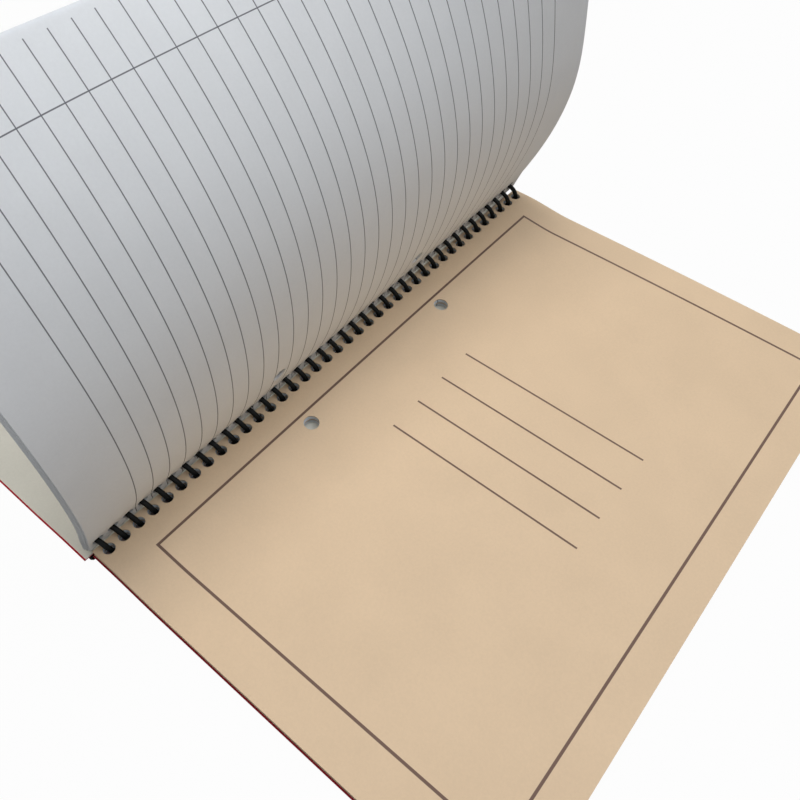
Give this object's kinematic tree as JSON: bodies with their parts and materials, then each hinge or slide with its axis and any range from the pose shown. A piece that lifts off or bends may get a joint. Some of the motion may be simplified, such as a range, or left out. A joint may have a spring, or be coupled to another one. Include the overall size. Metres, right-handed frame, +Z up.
{
  "type": "exercise book",
  "caption": "Spiral-bound ruled exercise book with soft card covers and card dividers, lying open with its first section lifted.",
  "frame": {"origin": "centre of the underside of the whole open book: on the table, straight below the coil's axis, halfway along the binding", "axes": "+X across the open book from the turned front cover towards the back cover's fore edge, +Y along the binding from the sheets' foot to their head, +Z up from the table"},
  "size_m": [0.3392, 0.2538, 0.1629],
  "materials": {
    "coil": "satin",
    "cover": "satin",
    "leaf": "matte",
    "divider": "matte"
  },
  "bodies": {
    "binding": {"spiral_coil": "coil", "back_cover": "cover"},
    "turned_cover": {"front_cover": "cover"},
    "third_section": {"section_3_leaves": "leaf"},
    "second_divider": {"divider_2": "divider"},
    "second_section": {"section_2_leaves": "leaf"},
    "first_divider": {"divider_1": "divider"},
    "lifted_rear": {"section_1_leaves_rear": "leaf"},
    "lifted_middle": {"section_1_leaves_middle": "leaf"},
    "lifted_front": {"section_1_leaves_front": "leaf"}
  },
  "joints": [
    {"name": "front_cover_turn", "type": "hinge", "parent": "binding", "child": "turned_cover", "pos_m": [0, 0, 0.0062], "axis": [0, 1, 0], "range_deg": [0, 20]},
    {"name": "section_3_turn", "type": "hinge", "parent": "binding", "child": "third_section", "pos_m": [0, 0, 0.0062], "axis": [0, -1, 0], "range_deg": [0, 5]},
    {"name": "divider_2_turn", "type": "hinge", "parent": "third_section", "child": "second_divider", "pos_m": [0, 0, 0.0062], "axis": [0, -1, 0], "range_deg": [0, 5]},
    {"name": "section_2_turn", "type": "hinge", "parent": "second_divider", "child": "second_section", "pos_m": [0, 0, 0.0062], "axis": [0, -1, 0], "range_deg": [0, 5]},
    {"name": "divider_1_turn", "type": "hinge", "parent": "second_section", "child": "first_divider", "pos_m": [0, 0, 0.0062], "axis": [0, -1, 0], "range_deg": [0, 5]},
    {"name": "lifted_rear_turn", "type": "hinge", "parent": "first_divider", "child": "lifted_rear", "pos_m": [0, 0, 0.0062], "axis": [0, -1, 0], "range_deg": [0, 22]},
    {"name": "lifted_middle_turn", "type": "hinge", "parent": "lifted_rear", "child": "lifted_middle", "pos_m": [0, 0, 0.0062], "axis": [0, -1, 0], "range_deg": [0, 4]},
    {"name": "lifted_front_turn", "type": "hinge", "parent": "lifted_middle", "child": "lifted_front", "pos_m": [0, 0, 0.0062], "axis": [0, -1, 0], "range_deg": [0, 4]}
  ]
}
